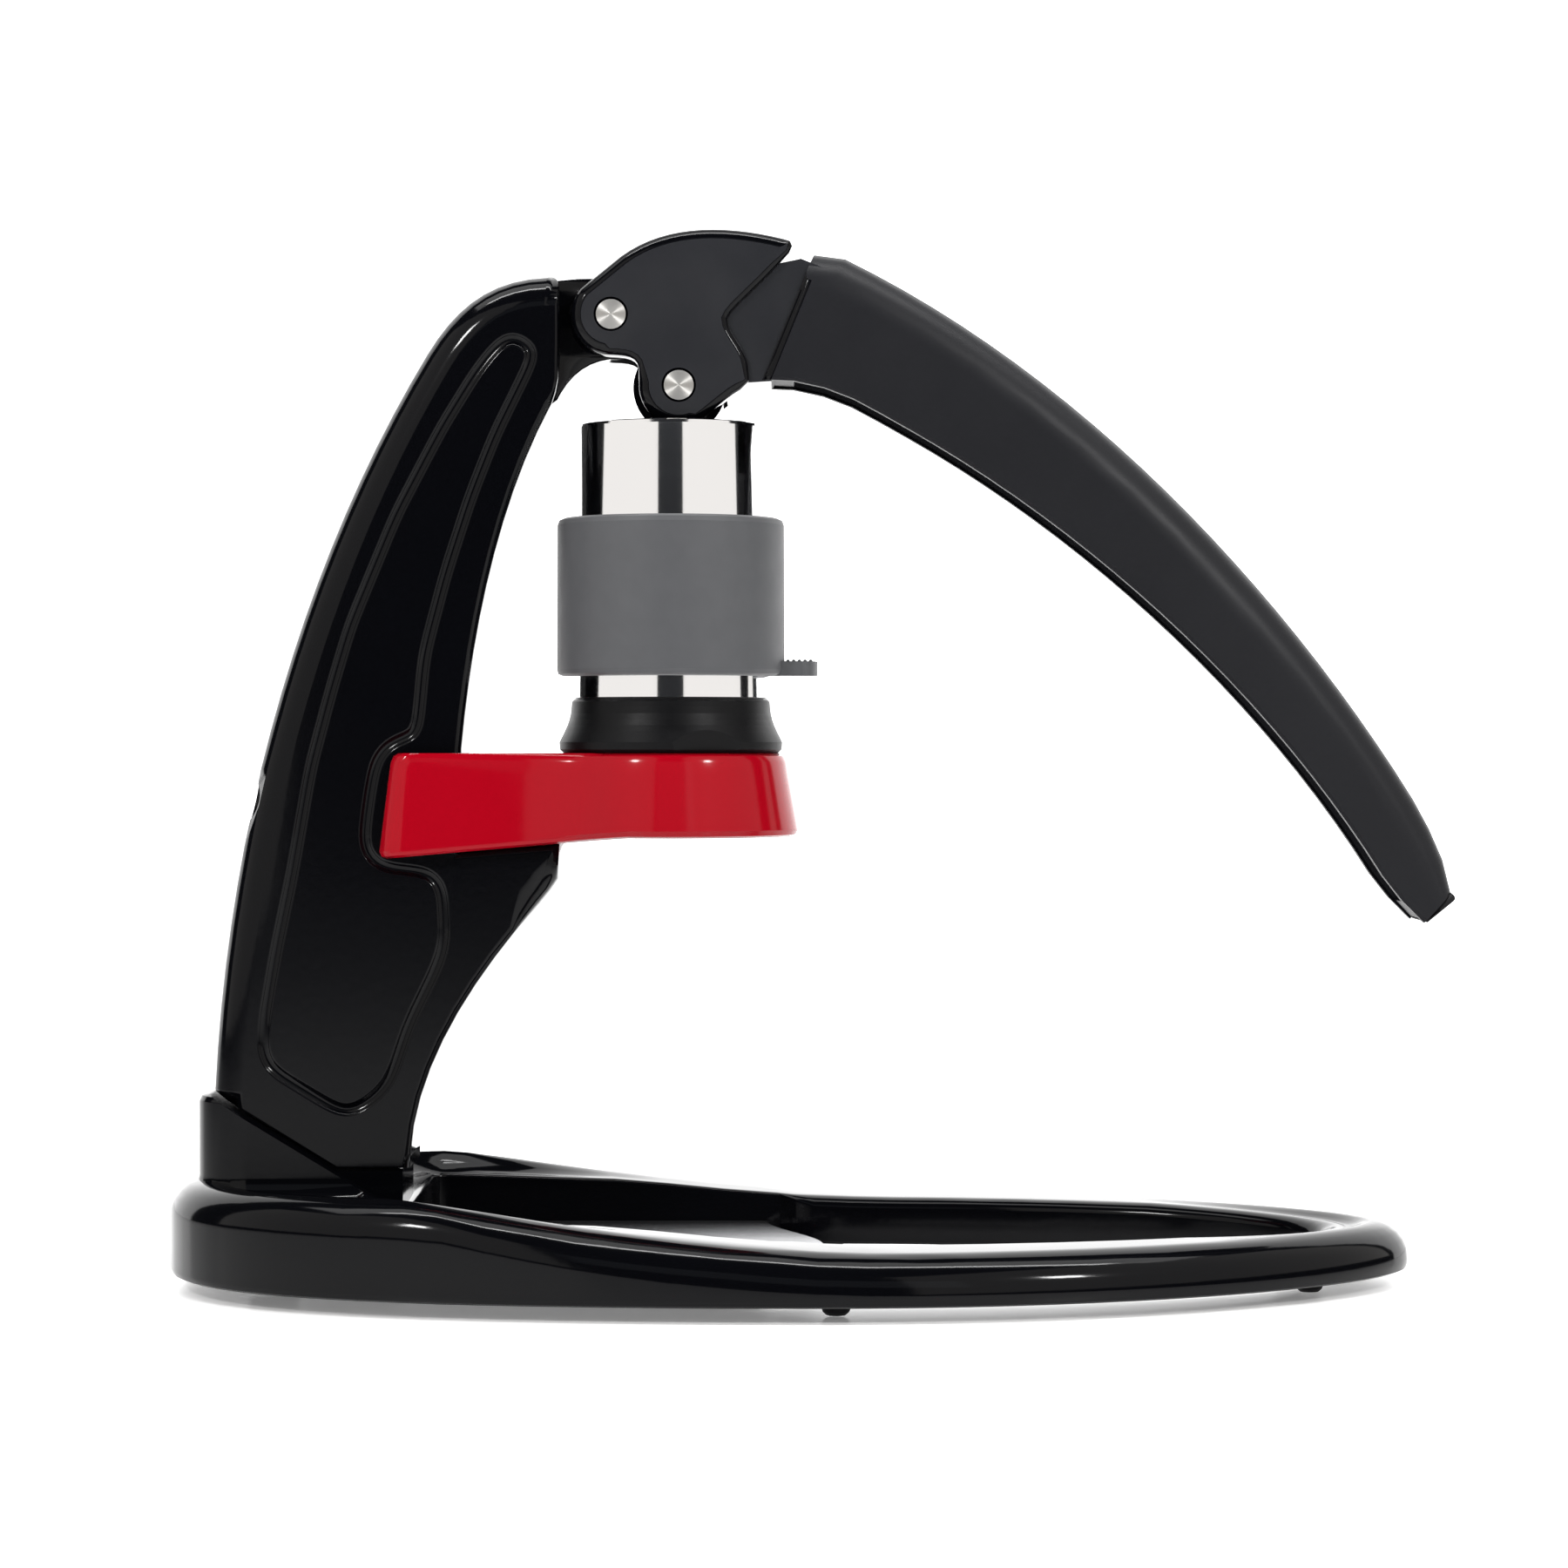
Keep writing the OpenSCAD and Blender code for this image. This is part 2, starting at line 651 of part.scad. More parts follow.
module cylinder_seal() {
    color([0.8, 0.8, 0.78])
        rotate_extrude()
            polygon([[bore_r - 0.25, cyl_bottom - 2.2], [cup_r - 0.05, cyl_bottom - 2.2],
                     [cup_r - 0.05, cyl_bottom], [bore_r + 0.6, cyl_bottom],
                     [bore_r - 0.25, cyl_bottom - 0.7]]);
}

module dispersion_screen() {
    color([0.78, 0.79, 0.8])
        difference() {
            translate([0, 0, cyl_bottom - 2])
                cylinder(h = 1, r = bore_r - 0.3);
            translate([0, 0, cyl_bottom - 3])
                sieve(bore_r - 2, 4.4, 0.8, 4);
        }
}

module brew_cylinder() {
    color([0.8, 0.81, 0.83])
        rotate_extrude()
            polygon([[bore_r, cyl_bottom], [cyl_r_low - 0.4, cyl_bottom], [cyl_r_low, cyl_bottom + 0.4],
                     [cyl_r_top, cyl_top - 0.9], [cyl_r_top - 0.25, cyl_top - 0.25],
                     [cyl_r_top - 0.8, cyl_top], [bore_r + 0.5, cyl_top], [bore_r, cyl_top - 0.6]]);
}

// outer radius of the cylinder at height z
function cyl_r(z) = cyl_r_low + (cyl_r_top - cyl_r_low) * (z - cyl_bottom) / (cyl_top - cyl_bottom);

module thermal_sleeve() {
    tab_x = cyl_r(sleeve_low) + sleeve_t;
    color([0.36, 0.36, 0.37])
        difference() {
            union() {
                rotate_extrude()
                    polygon([[cyl_r(sleeve_low) + run_gap, sleeve_low],
                             [tab_x - 1.2, sleeve_low], [tab_x - 0.3, sleeve_low + 0.4],
                             [tab_x, sleeve_low + 1.4],
                             [cyl_r(sleeve_top) + sleeve_t + 0.9, sleeve_top - 1.6],
                             [cyl_r(sleeve_top) + sleeve_t + 0.5, sleeve_top - 0.5],
                             [cyl_r(sleeve_top) + sleeve_t - 0.6, sleeve_top],
                             [cyl_r(sleeve_top) + run_gap, sleeve_top]]);
                translate([20, 0, sleeve_low])
                    linear_extrude(3.4) {
                        translate([0, -7])
                            square([tab_x - 16, 14]);
                        translate([tab_x - 16, 0])
                            scale([0.55, 1])
                                circle(r = 7, $fn = 32);
                    }
                for (k = [0:4])
                    translate([tab_x + 0.8 + k * 1.35, 0, sleeve_low + 3.4])
                        rotate([90, 0, 0])
                            cylinder(h = 9, r = 0.45, center = true, $fn = 16);
            }
            rotate_extrude()
                polygon([[0, sleeve_low - 1], [cyl_r(sleeve_low - 1) + run_gap, sleeve_low - 1],
                         [cyl_r(sleeve_top + 1) + run_gap, sleeve_top + 1], [0, sleeve_top + 1]]);
        }
}

// Lever

GRIP_TOP = concat(
    curve([34.2, 244], [36, 245.2], [38, 245], [40.4, 243.6], 3),
    curve([40.4, 243.6], [96.2, 216.8], [144.2, 166.3], [176, 115.4], 26),
    curve([176, 115.4], [180.2, 108.1], [184.2, 100.3], [184.6, 93.2], 6), [[184.6, 93.2]]);
GRIP_LOW = concat(
    curve([21.9, 213.9], [32, 214.4], [41.8, 211.1], [51.2, 205.1], 8),
    curve([51.2, 205.1], [99.3, 179.2], [146.2, 136.2], [173.9, 87.6], 24), [[178, 86]]);

// half section of the grip, from the lower edge up to the crown: fraction across and height
function grip_side(h, w, r) = concat(
    [[w - 0.9, 0], [w - 0.2, 0.8], [w, 0.3 * h]],
    [for (a = [0:15:90]) [w - r + r * cos(a), h - r - 0.7 + (r + 0.7) * sin(a)]]);

function grip_section(f) =
    let (
        t = along(GRIP_TOP, lengths(GRIP_TOP), f),
        b = along(GRIP_LOW, lengths(GRIP_LOW), f),
        h = norm(t - b),
        u = (t - b) / h,
        w = lever_half - 1.6 * blend(f, 0.5, 1),
        r = min(9, 0.42 * h),
        o = grip_side(h, w, r),
        n = grip_side(h - grip_wall, w - grip_wall, max(2, r - grip_wall)),
        left = [for (i = [len(o) - 1:-1:0]) [-o[i][0], o[i][1]]],
        in_left = [for (p = n) [-p[0], p[1]]],
        in_right = [for (i = [len(n) - 1:-1:0]) n[i]],
        s = concat(o, left, in_left, in_right)
    )
    [for (p = s) [b[0] + u[0] * p[1], p[0], b[1] + u[1] * p[1]]];

// outline of the fork head, counterclockwise seen from -Y
function head_outline() = concat(
    arc(pivot, eye_r, 140, 268, 14),
    curve(pivot + eye_r * [cos(268), sin(268)], [-9, 219.6], [-7, 219], [-7.1, 215], 7),
    arc(presser, eye_r, 176, 300, 14),
    curve(presser + eye_r * [cos(300), sin(300)], [10.5, 206.5], [14, 210.6], [18.6, 212.4], 7),
    [[18.8, 213.5]],
    curve([18.6, 217], [18.2, 221.4], [13.6, 225], [13.7, 228.1], 7),
    curve([13.7, 228.1], [14.4, 230.6], [20.5, 234.8], [28.2, 243.6], 7),
    curve([28.2, 243.6], [29.6, 245.6], [29, 246.6], [26.8, 247.2], 3),
    curve([26.8, 247.2], [12, 250.8], [-3, 250.6], [-13.5, 241.4], 16));

// rounding at each point of that outline, in the order of its pieces
function head_rounding() = concat(
    many(14, head_round), many(7, 1.7), many(14, head_round), many(7, 2), [1.2],
    many(14, 1.7), many(3, 1.2), many(16, head_round));

// part of the head between the fork's cheeks that stays clear for the tongue and the foot
module fork_slot() {
    a = 72;
    tongue_room = 11;
    foot_room = eye_r + 2.2;
    q = pivot + tongue_room * [cos(a - 90), sin(a - 90)];
    e = presser + foot_room * [cos(90 - link_tilt), sin(90 - link_tilt)];
    plate([q + 40 * [cos(a), sin(a)], [-60, 290], [-60, 170], [presser[0] + 6, 170],
           presser + foot_room * [cos(-30), sin(-30)], e, q], -fork_half, fork_half);
    bar_y(pivot, tongue_room, 2 * fork_half);
    bar_y(presser, foot_room, 2 * fork_half);
}

module lever() {
    p = head_outline();
    neck = [[10, 222], [12, 211.5], [18, 213.2], [24, 213.6], [30, 220], [37, 240], [31, 242.4], [20, 240]];
    color([0.03, 0.03, 0.035])
        difference() {
            union() {
                rounded_plate(p, lever_w, head_rounding());
                plate(neck, -lever_half + 2.2, lever_half - 2.2);
                channel([for (k = [28:-1:0]) grip_section(k / 28)]);
                // walls at both ends of the channel, ribs and round bosses inside it
                skin([for (k = [1:-1:0]) rib_section(0.005 + 0.03 * k, 0.02)]);
                skin([for (k = [1:-1:0]) rib_section(0.972 + 0.025 * k, 0.05)]);
                for (f = [0.3, 0.62])
                    skin([for (k = [1:-1:0]) rib_section(f + 0.008 * k, 0.4)]);
                for (s = [-1, 1])
                    translate([0, s * (lever_half - grip_wall), 0])
                        bar_y([98, 179], 3.2, 2.4);
            }
            fork_slot();
            bar_y(pivot, pin_r + run_gap / 2, lever_w + 2);
            bar_y(presser, pin_r + run_gap / 2, lever_w + 2);
        }
}

// section of a wall across the channel, from the height low (a fraction) up into the crown
function rib_section(f, low) =
    let (
        t = along(GRIP_TOP, lengths(GRIP_TOP), f),
        b = along(GRIP_LOW, lengths(GRIP_LOW), f),
        h = norm(t - b),
        u = (t - b) / h,
        w = lever_half - 1.6 * blend(f, 0.5, 1) - grip_wall + 1.1,
        r = min(6, 0.3 * h)
    )
    [for (p = [[w, low * h], [w, h - r - 2], [w - r, h - 1.7], [r - w, h - 1.7],
               [-w, h - r - 2], [-w, low * h]])
        [b[0] + u[0] * p[1], p[0], b[1] + u[1] * p[1]]];

module lever_end_cap() {
    e = GRIP_TOP[len(GRIP_TOP) - 1];
    s = GRIP_LOW[len(GRIP_LOW) - 1];
    tilt = atan2(e[1] - s[1], e[0] - s[0]);
    color([0.05, 0.05, 0.05])
        translate([s[0], 0, s[1]])
            rotate([0, -tilt, 0])
                translate([0.6, -lever_half + 3.2, -2.4])
                    cube([norm(e - s) - 0.8, lever_w - 6.4, 2.4]);
}

module hinge_pin(c) {
    l = lever_w - 0.6;
    translate([c[0], l / 2, c[1]])
        rotate([90, 0, 0])
            rotate_extrude()
                polygon([[0, 0], [pin_r - 0.5, 0], [pin_r, 0.5], [pin_r, l - 0.5],
                         [pin_r - 0.5, l], [0, l]]);
}

module pivot_pin() {
    color([0.72, 0.73, 0.75])
        hinge_pin(pivot);
}

module presser_pin() {
    color([0.72, 0.73, 0.75])
        hinge_pin(presser);
}

// Presser foot

module presser_foot() {
    color([0.04, 0.04, 0.045])
        difference() {
            union() {
                bar_y(presser, eye_r + 1.5, tongue_w);
                translate([presser[0] - 6, -tongue_w / 2, foot_bottom + 3])
                    cube([12, tongue_w, presser[1] - foot_bottom - 3]);
                translate([presser[0], 0, foot_bottom + 2])
                    cylinder(h = 3.5, r = 10);
            }
            bar_y(presser, bush_r, tongue_w + 2);
            translate([presser[0], 0, foot_bottom])
                cylinder(h = 3, r = pad_r);
        }
}

module foot_bush() {
    color([0.75, 0.68, 0.5])
        difference() {
            bar_y(presser, bush_r, tongue_w);
            bar_y(presser, pin_r + run_gap, tongue_w + 2);
        }
}

module foot_washers() {
    washer_pair(presser);
}

module foot_pad() {
    color([0.85, 0.85, 0.82])
        translate([presser[0], 0, foot_bottom])
            rotate_extrude()
                polygon([[0, 0], [pad_r - 1.2, 0], [pad_r - 0.2, 0.8], [pad_r, 2], [pad_r, 3], [0, 3]]);
}

// Plunger

plunger_low = cyl_bottom + 0.7;
plunger_h = 16;
SEALS = [plunger_low + 4.2, plunger_low + 11.8];

module plunger_body() {
    color([0.07, 0.07, 0.07])
        rotate_extrude()
            polygon(concat(
                [[0, plunger_low], [bore_r - 1.4, plunger_low], [bore_r - 0.3, plunger_low + 1.1]],
                [for (z = SEALS) each [[bore_r - 0.3, z - 1.75], [bore_r - 3.25, z - 1.75],
                                       [bore_r - 3.25, z + 1.75], [bore_r - 0.3, z + 1.75]]],
                [[bore_r - 0.3, plunger_low + plunger_h - 0.8], [bore_r - 1.1, plunger_low + plunger_h],
                 [9, plunger_low + plunger_h], [9, plunger_low + plunger_h + 4],
                 [stem_r, plunger_low + plunger_h + 4], [stem_r, plunger_low + 8],
                 [0, plunger_low + 8]]));
}

module plunger_seals() {
    color([0.55, 0.08, 0.07])
        for (z = SEALS)
            translate([0, 0, z])
                rotate_extrude()
                    translate([bore_r - run_gap - 1.6, 0])
                        circle(r = 1.6, $fn = 32);
}

module plunger_stem() {
    color([0.72, 0.73, 0.75])
        translate([0, 0, plunger_low + 8])
            cylinder(h = cap_top - 2.5 - plunger_low - 8, r = stem_r);
}

module stem_cap() {
    color([0.07, 0.07, 0.07])
        rotate_extrude()
            polygon([[0, cap_top], [8, cap_top], [9, cap_top - 1], [9, cap_top - 5], [8.2, cap_top - 6],
                     [stem_r, cap_top - 6], [stem_r, cap_top - 2.5], [0, cap_top - 2.5]]);
}

base_frame();
rubber_feet();
drip_tray();
post_wing_bolt();
post();
pivot_bush();
pivot_washers();
portafilter_arm();
arm_bolts();
portafilter_collar();
portafilter_cup();
portafilter_spout();
cylinder_seal();
dispersion_screen();
brew_cylinder();
thermal_sleeve();
lever();
lever_end_cap();
pivot_pin();
presser_pin();
presser_foot();
foot_bush();
foot_washers();
foot_pad();
plunger_body();
plunger_seals();
plunger_stem();
stem_cap();
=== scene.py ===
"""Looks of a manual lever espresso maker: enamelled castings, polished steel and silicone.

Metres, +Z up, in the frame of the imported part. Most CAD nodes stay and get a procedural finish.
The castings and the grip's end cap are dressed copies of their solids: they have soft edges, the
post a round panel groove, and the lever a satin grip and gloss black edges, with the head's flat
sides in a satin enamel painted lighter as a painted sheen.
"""

import json
import math

import bmesh
import bpy
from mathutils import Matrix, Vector


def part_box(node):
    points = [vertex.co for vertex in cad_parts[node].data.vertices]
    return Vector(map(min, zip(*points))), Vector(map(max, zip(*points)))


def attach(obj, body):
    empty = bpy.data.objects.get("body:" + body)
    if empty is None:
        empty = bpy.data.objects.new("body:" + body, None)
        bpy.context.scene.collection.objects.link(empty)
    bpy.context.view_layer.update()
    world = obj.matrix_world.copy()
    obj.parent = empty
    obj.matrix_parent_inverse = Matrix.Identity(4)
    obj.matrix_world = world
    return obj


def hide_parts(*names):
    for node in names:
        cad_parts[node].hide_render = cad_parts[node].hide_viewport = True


MM = 0.001

# photograph: side and focal length in pixels, row of the horizon, and place of the camera
IMAGE_PX = 1800
FOCAL_PX = 4770
HORIZON_ROW = 850
CAMERA_AT = (0.027, -0.992, 0.129)
SENSOR_MM = 36
NEAREST_SEEN = 0.05

# studio: tints of its lights, what they aim at, and the upright cards on both sides
WHITE = (1, 1, 1)
WARM = (1, 0.97, 0.93)
COOL = (0.85, 0.92, 1)
LOW_TARGET = (0.03, 0, 0.1)
HEAD_TARGET = (0, 0, 0.2)
FLOOR_Z = -0.4 * MM
CARD_REACH = 0.8
CARD_HEIGHT = 0.8
CARD_FOOT = 0.06
CARD_GLOW = 1.05

# least angle between the faces of an edge that is rounded, and greatest between joined facets
SHARP = math.radians(32)
COPLANAR = math.radians(0.3)
# part of a normal along Y from which a face counts as a flat side
FLAT = 0.99
# distance within which points are welded, and within which a point counts as on a plane
WELD = 0.002 * MM
NEAR = 10 * WELD
# steps across a rounding of edges, and its width on each piece
ROUND_STEPS = 3
BASE_EDGE = 0.6 * MM
POST_EDGE = 0.4 * MM
ARM_EDGE = 0.4 * MM
LEVER_EDGE = 0.35 * MM
SEAM_EDGE = 2 * MM
CAP_EDGE = 1.1 * MM
# weight of large faces against small ones in a casting's shading, where 50 is neutral
FACE_WEIGHT = 60

# half of the post's width, and the same at the floor of its panel groove
POST_HALF = 15 * MM
GROOVE_FLOOR = 14.2 * MM
# half of the groove's width, and front end (x) of the panel inside it
GROOVE_HALF = 1.25 * MM
PANEL_FRONT = -0.0298
# points along the groove's outline, and rounds of smoothing of it
GROOVE_POINTS = 320
GROOVE_ROUNDS = 10
# bar that cuts the groove round: radius, sides, and height of its axis above the flank
BAR_R = 1.38 * MM
BAR_SIDES = 16
BAR_LIFT = 0.58 * MM
# rounding of the post's crest: centre (y, z), radius, step in degrees, and the length (x) over
# which the ears of the solid are cut to it
CREST_CENTRE = (7 * MM, 230.75 * MM)
CREST_R = 8 * MM
CREST_STEP = 3
CREST_SPAN = (-29.3 * MM, -25 * MM)

# hinge pins, whose ends are bare steel; their chamfers take the black enamel as painted shade of
# the gap round each pin
SHADED_CHAMFER_PINS = ("pivot_pin", "presser_pin")
# lower and upper end (x, z) of the seam between the lever's neck and its grip
GRIP_START = ((0.0219, 0.2139), (0.0342, 0.244))
# edges this near to that seam and this far from the mirror plane are rounded
SEAM_REACH = 1.5 * MM
SEAM_SIDE = 14 * MM
# material slots of the lever after the gloss black of its edges: the head's flat sides (painted
# sheen) and the grip
HEAD_SHEEN_SLOT, GRIP_SLOT = 1, 2
# parts of the end cap's thickness that are taken off at its lower and at its front edge
CAP_TAPER = 0.75
CAP_TRIM = 0.2

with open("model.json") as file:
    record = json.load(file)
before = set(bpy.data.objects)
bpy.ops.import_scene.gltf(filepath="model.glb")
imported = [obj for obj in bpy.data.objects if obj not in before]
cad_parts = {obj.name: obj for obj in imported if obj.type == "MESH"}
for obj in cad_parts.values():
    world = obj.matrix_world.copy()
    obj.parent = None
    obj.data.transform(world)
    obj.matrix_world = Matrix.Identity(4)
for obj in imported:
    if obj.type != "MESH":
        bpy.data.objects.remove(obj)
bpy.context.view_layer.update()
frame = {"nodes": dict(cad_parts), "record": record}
nodes = frame["nodes"]
bodies = frame["record"]["behaviour"]["bodies"]
subparts = frame["record"]["subparts"]
body_of_node = {n: b for b, names in bodies.items() for n in names}
slot_of_node = {part["node"]: part["material_slot"] for part in subparts}


# Shader helpers


def shader(name, colour, roughness, metallic=0.0, specular=0.5):
    """A new material, with its node tree and its Principled shader."""
    mat = bpy.data.materials.new(name)
    mat.use_nodes = True
    tree = mat.node_tree
    bsdf = tree.nodes["Principled BSDF"]
    bsdf.inputs["Base Color"].default_value = (*colour, 1)
    bsdf.inputs["Roughness"].default_value = roughness
    bsdf.inputs["Metallic"].default_value = metallic
    bsdf.inputs["Specular IOR Level"].default_value = specular
    return mat, tree, bsdf


def feed(bsdf, socket, value):
    """Links a value of the node tree to a socket of the shader."""
    bsdf.id_data.links.new(value, bsdf.inputs[socket])


def coords(tree, stretch=(1, 1, 1), shift=(0, 0, 0)):
    """Object coordinates in metres, stretched and shifted."""
    where = tree.nodes.new("ShaderNodeTexCoord")
    mapping = tree.nodes.new("ShaderNodeMapping")
    mapping.inputs["Scale"].default_value = stretch
    mapping.inputs["Location"].default_value = shift
    tree.links.new(where.outputs["Object"], mapping.inputs["Vector"])
    return mapping.outputs["Vector"]


def noise(tree, vector, scale, detail=2.0):
    """A noise value between 0 and 1."""
    tex = tree.nodes.new("ShaderNodeTexNoise")
    tex.inputs["Scale"].default_value = scale
    tex.inputs["Detail"].default_value = detail
    tree.links.new(vector, tex.inputs["Vector"])
    return tex.outputs["Fac"]


def rings(tree, centre, scale):
    """Fine turned rings about an axis along Y through centre."""
    tex = tree.nodes.new("ShaderNodeTexWave")
    tex.wave_type = "RINGS"
    tex.rings_direction = "Y"
    tex.inputs["Scale"].default_value = scale
    tex.inputs["Distortion"].default_value = 0.6
    tex.inputs["Detail"].default_value = 1.0
    shift = tuple(-c for c in centre)
    tree.links.new(coords(tree, shift=shift), tex.inputs["Vector"])
    return tex.outputs["Fac"]


def ramp(tree, value, low, high):
    """Stretches a 0 to 1 value to low to high."""
    node = tree.nodes.new("ShaderNodeMapRange")
    node.inputs["To Min"].default_value = low
    node.inputs["To Max"].default_value = high
    tree.links.new(value, node.inputs["Value"])
    return node.outputs["Result"]


def tint(tree, value, dark, light):
    """A colour between dark and light, by a 0 to 1 value."""
    node = tree.nodes.new("ShaderNodeMix")
    node.data_type = "RGBA"
    node.inputs["A"].default_value = (*dark, 1)
    node.inputs["B"].default_value = (*light, 1)
    tree.links.new(value, node.inputs["Factor"])
    return node.outputs["Result"]


def bump(tree, bsdf, value, height, strength):
    """Raises the surface by height (metres) where value is 1."""
    node = tree.nodes.new("ShaderNodeBump")
    node.inputs["Strength"].default_value = strength
    node.inputs["Distance"].default_value = height
    tree.links.new(value, node.inputs["Height"])
    feed(bsdf, "Normal", node.outputs["Normal"])


# Materials


def enamel(name, dark, light, roughness, specular):
    """Stoved enamel on a casting, with a faint orange peel."""
    mat, tree, bsdf = shader(name, light, roughness, specular=specular)
    where = coords(tree)
    patches = noise(tree, where, scale=60, detail=3)
    peel = noise(tree, where, scale=420, detail=1.5)
    feed(bsdf, "Base Color", tint(tree, noise(tree, where, scale=14), dark, light))
    feed(bsdf, "Roughness", ramp(tree, patches, low=roughness * 0.8, high=roughness * 1.25))
    bump(tree, bsdf, peel, height=0.02 * MM, strength=0.35)
    return mat


def satin_grip():
    """Satin black of the hollow grip, a little rougher than the head."""
    dark, light = (0.0055, 0.0057, 0.0073), (0.0082, 0.0085, 0.0105)
    mat, tree, bsdf = shader("grip_satin", (0.007, 0.007, 0.009), 0.4, specular=0.16)
    where = coords(tree)
    patches = noise(tree, where, scale=90, detail=4)
    grain = noise(tree, where, scale=1500, detail=2)
    feed(bsdf, "Roughness", ramp(tree, patches, low=0.36, high=0.46))
    feed(bsdf, "Base Color", tint(tree, noise(tree, where, scale=25), dark, light))
    bump(tree, bsdf, grain, height=0.02 * MM, strength=0.4)
    return mat


def polished_steel():
    """Mirror-polished steel with faint turning lines round the axis."""
    mat, tree, bsdf = shader("polished_steel", (0.8, 0.8, 0.81), 0.07, metallic=1)
    lines = noise(tree, coords(tree, stretch=(3, 3, 900)), scale=6, detail=3)
    feed(bsdf, "Roughness", ramp(tree, lines, low=0.04, high=0.12))
    bump(tree, bsdf, lines, height=0.004 * MM, strength=0.2)
    return mat


def satin_steel():
    """Brushed steel sheet, with its grain along X."""
    dark, light = (0.36, 0.365, 0.38), (0.48, 0.485, 0.5)
    mat, tree, bsdf = shader("satin_steel", (0.42, 0.425, 0.44), 0.24, metallic=1)
    grain = noise(tree, coords(tree, stretch=(20, 900, 900)), scale=3, detail=4)
    feed(bsdf, "Roughness", ramp(tree, grain, low=0.18, high=0.3))
    feed(bsdf, "Base Color", tint(tree, grain, dark, light))
    bump(tree, bsdf, grain, height=0.01 * MM, strength=0.3)
    return mat


def turned_steel(name, centre):
    """Turned steel with fine rings about its own axis, which spread the light into sectors."""
    mat, tree, bsdf = shader(name, (0.5, 0.49, 0.47), 0.42, metallic=1)
    bsdf.inputs["Anisotropic"].default_value = 0.95
    bsdf.inputs["Anisotropic Rotation"].default_value = 0.25
    turn = tree.nodes.new("ShaderNodeTangent")
    turn.direction_type = "RADIAL"
    turn.axis = "Y"
    lines = rings(tree, centre, scale=900)
    feed(bsdf, "Tangent", turn.outputs["Tangent"])
    feed(bsdf, "Roughness", ramp(tree, lines, low=0.38, high=0.46))
    bump(tree, bsdf, lines, height=0.003 * MM, strength=0.12)
    return mat


def silicone(name, dark, light):
    """Matt silicone with a soft sheen and a fine moulded grain."""
    mat, tree, bsdf = shader(name, light, 0.55, specular=0.4)
    bsdf.inputs["Sheen Weight"].default_value = 0.12
    bsdf.inputs["Sheen Roughness"].default_value = 0.5
    where = coords(tree)
    mottle = noise(tree, where, scale=220, detail=5)
    patches = noise(tree, where, scale=150, detail=3)
    grain = noise(tree, where, scale=3200, detail=2)
    feed(bsdf, "Base Color", tint(tree, mottle, dark, light))
    feed(bsdf, "Roughness", ramp(tree, patches, low=0.48, high=0.62))
    bump(tree, bsdf, grain, height=0.03 * MM, strength=0.35)
    return mat


def plastic(name, dark, light, roughness, grain_scale, specular=0.5):
    """Moulded plastic or rubber with a spark-eroded grain."""
    mat, tree, bsdf = shader(name, light, roughness, specular=specular)
    where = coords(tree)
    mottle = noise(tree, where, scale=180, detail=4)
    patches = noise(tree, where, scale=400, detail=3)
    grain = noise(tree, where, scale=grain_scale, detail=3)
    feed(bsdf, "Base Color", tint(tree, mottle, dark, light))
    feed(bsdf, "Roughness", ramp(tree, patches, low=roughness * 0.85, high=roughness * 1.15))
    bump(tree, bsdf, grain, height=0.05 * MM, strength=0.4)
    return mat


def bronze():
    """Sintered bronze with tiny pores."""
    mat, tree, bsdf = shader("bronze", (0.5, 0.36, 0.18), 0.35, metallic=1)
    pores = noise(tree, coords(tree), scale=2400, detail=3)
    feed(bsdf, "Base Color", tint(tree, pores, (0.36, 0.25, 0.12), (0.56, 0.41, 0.21)))
    bump(tree, bsdf, pores, height=0.02 * MM, strength=0.4)
    return mat


black = enamel("black_enamel", (0.0011, 0.0012, 0.0017), (0.0017, 0.0018, 0.0026),
               roughness=0.09, specular=0.14)
# the head's flat sides: a satin enamel painted lighter than the black one, a painted sheen of the
# light they catch
head = enamel("head_sides_painted_sheen", (0.003, 0.0033, 0.005), (0.007, 0.0075, 0.0105),
              roughness=0.32, specular=0.52)
grip = satin_grip()

SLOT_MATERIAL = {
    "black_enamel": black,
    "red_enamel": enamel("red_enamel", (0.24, 0.0008, 0.0055), (0.29, 0.0011, 0.0075),
                         roughness=0.12, specular=0.16),
    "polished_steel": polished_steel(),
    "satin_steel": satin_steel(),
    "grey_silicone": silicone("grey_silicone", (0.044, 0.0455, 0.05), (0.056, 0.0578, 0.0625)),
    "red_silicone": silicone("red_silicone", (0.26, 0.025, 0.02), (0.32, 0.035, 0.03)),
    "black_plastic": plastic("black_plastic", (0.0012, 0.0012, 0.0016), (0.0022, 0.0022, 0.0028),
                             roughness=0.4, grain_scale=2600, specular=0.13),
    "black_rubber": plastic("black_rubber", (0.004, 0.004, 0.0048), (0.0075, 0.0075, 0.009),
                            roughness=0.5, grain_scale=1800, specular=0.25),
    "nylon": plastic("nylon", (0.64, 0.64, 0.6), (0.74, 0.74, 0.7),
                     roughness=0.45, grain_scale=1500),
    "bronze": bronze(),
}


def dress_nodes():
    """Gives every node the finish of its material slot; turned steel is made for each node."""
    for name, slot in slot_of_node.items():
        mat = SLOT_MATERIAL.get(slot)
        if mat is None:
            low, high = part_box(name)
            mat = turned_steel("turned_" + name, (low + high) / 2)
        mesh = nodes[name].data
        mesh.materials.clear()
        mesh.materials.append(mat)
        # the chamfers of these pins get the black enamel: painted shade of the dark gap round
        # each pin
        if name in SHADED_CHAMFER_PINS:
            mesh.materials.append(black)
            for face in mesh.polygons:
                face.material_index = 0 if abs(face.normal.y) > FLAT else 1


# Castings


